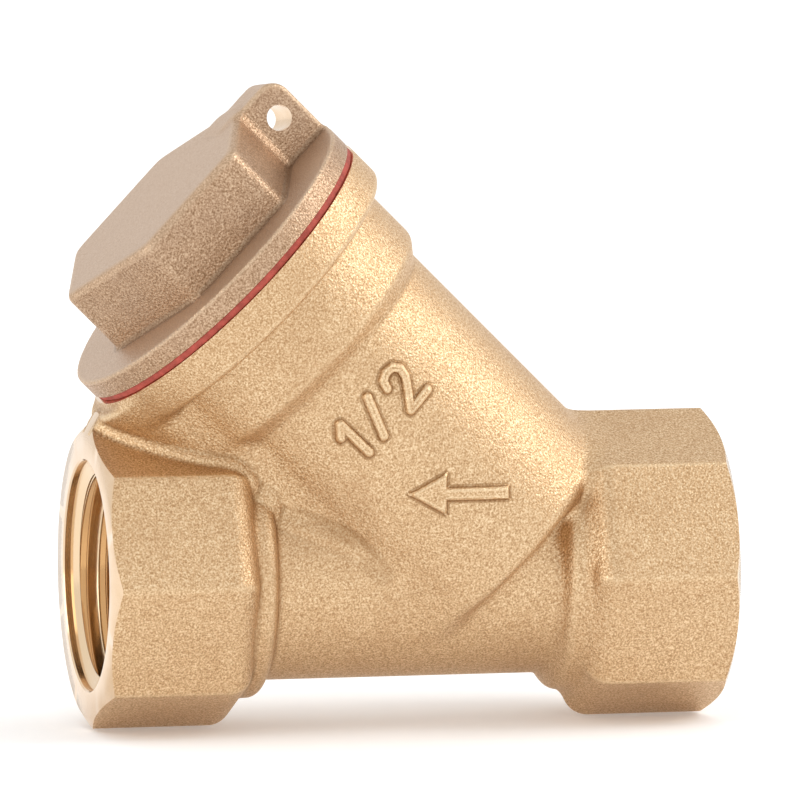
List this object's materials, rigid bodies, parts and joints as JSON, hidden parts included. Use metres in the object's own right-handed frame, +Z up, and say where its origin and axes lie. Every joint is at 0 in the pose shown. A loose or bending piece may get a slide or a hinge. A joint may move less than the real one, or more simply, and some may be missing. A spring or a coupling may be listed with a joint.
{
  "type": "coarse water strainer",
  "caption": "Y-pattern brass water strainer with threaded octagonal ends, a leaning branch closed by a screwed hexagonal cap with a seal lug, and a tubular screen inside.",
  "frame": {"origin": "centre of the inlet end face, on the run axis", "axes": "+X out of the inlet along the run, +Z up on the side that the branch leans out on, Y across the run"},
  "size_m": [0.0599, 0.0324, 0.0585],
  "materials": {
    "forged_brass": "forged and shot-blasted, with bright turned ends and bores",
    "cap_brass": "forged and shot-blasted, duller than the body",
    "red_fibre": "matt vulcanised fibre",
    "stainless_sheet": "rolled stainless sheet"
  },
  "bodies": {
    "housing": {"body": "forged_brass"},
    "screen_tube": {"screen": "stainless_sheet"},
    "seal_ring": {"gasket": "red_fibre"},
    "screw_cap": {"cap": "cap_brass"}
  },
  "joints": [
    {"name": "screen_withdraw", "type": "slide", "parent": "housing", "child": "screen_tube", "axis": [-0.7071, 0, 0.7071], "range_m": [0, 0.045]},
    {"name": "cap_rise", "type": "slide", "parent": "screen_tube", "child": "seal_ring", "axis": [-0.7071, 0, 0.7071], "range_m": [0, 0.008]},
    {"name": "cap_unscrew", "type": "hinge", "parent": "seal_ring", "child": "screw_cap", "pos_m": [-0.04516, 0, 0.02726], "axis": [-0.7071, 0, 0.7071], "range_deg": [0, 1900]}
  ],
  "couplings": [
    {"joint": "cap_rise", "follows": "cap_unscrew", "m_per_rad": 0.00023873}
  ]
}
